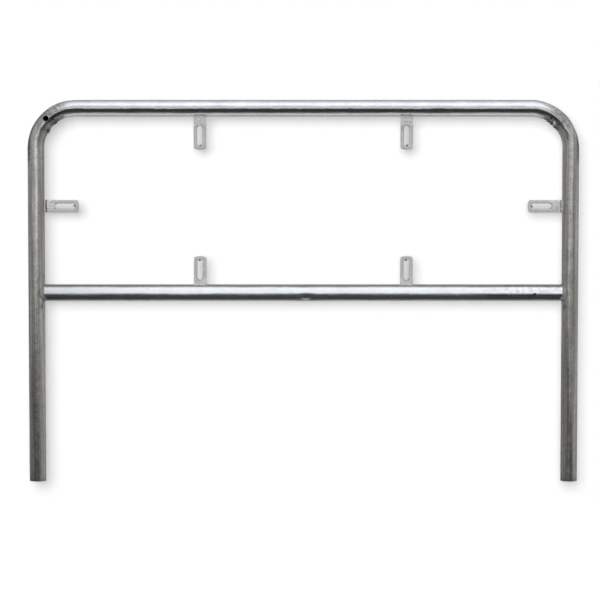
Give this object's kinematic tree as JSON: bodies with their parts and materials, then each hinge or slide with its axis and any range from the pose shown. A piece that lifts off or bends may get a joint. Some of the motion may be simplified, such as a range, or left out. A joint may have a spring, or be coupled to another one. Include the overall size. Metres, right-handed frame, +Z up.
{
  "type": "headache rack",
  "caption": "Welded tubular hoop with a crossbar between its legs and slotted lugs round the window, fixed by its legs behind a vehicle's cab to guard it from the load.",
  "frame": {"origin": "on the plane of the two feet, midway between them, in the middle plane of the tubes", "axes": "+X across the vehicle to the right seen from the front of the rack, -Y out of its front face, +Z up"},
  "size_m": [1.6, 0.054, 1.11],
  "materials": {
    "galvanised_tube": "hot-dip galvanised after welding, with runs and small nodules in the zinc",
    "galvanised_plate": "hot-dip galvanised after welding, with runs and small nodules in the zinc",
    "galvanised_weld": "hot-dip galvanised after welding, with runs and small nodules in the zinc"
  },
  "bodies": {
    "root": {"hoop": "galvanised_tube", "crossbar": "galvanised_tube", "upper_left_lug": "galvanised_plate", "upper_right_lug": "galvanised_plate", "lower_left_lug": "galvanised_plate", "lower_right_lug": "galvanised_plate", "left_side_lug": "galvanised_plate", "right_side_lug": "galvanised_plate", "upper_left_lug_front_weld": "galvanised_weld", "upper_left_lug_rear_weld": "galvanised_weld", "upper_right_lug_front_weld": "galvanised_weld", "upper_right_lug_rear_weld": "galvanised_weld", "lower_left_lug_front_weld": "galvanised_weld", "lower_left_lug_rear_weld": "galvanised_weld", "lower_right_lug_front_weld": "galvanised_weld", "lower_right_lug_rear_weld": "galvanised_weld", "left_side_lug_front_weld": "galvanised_weld", "left_side_lug_rear_weld": "galvanised_weld", "right_side_lug_front_weld": "galvanised_weld", "right_side_lug_rear_weld": "galvanised_weld", "left_crossbar_weld": "galvanised_weld", "right_crossbar_weld": "galvanised_weld"}
  },
  "joints": []
}
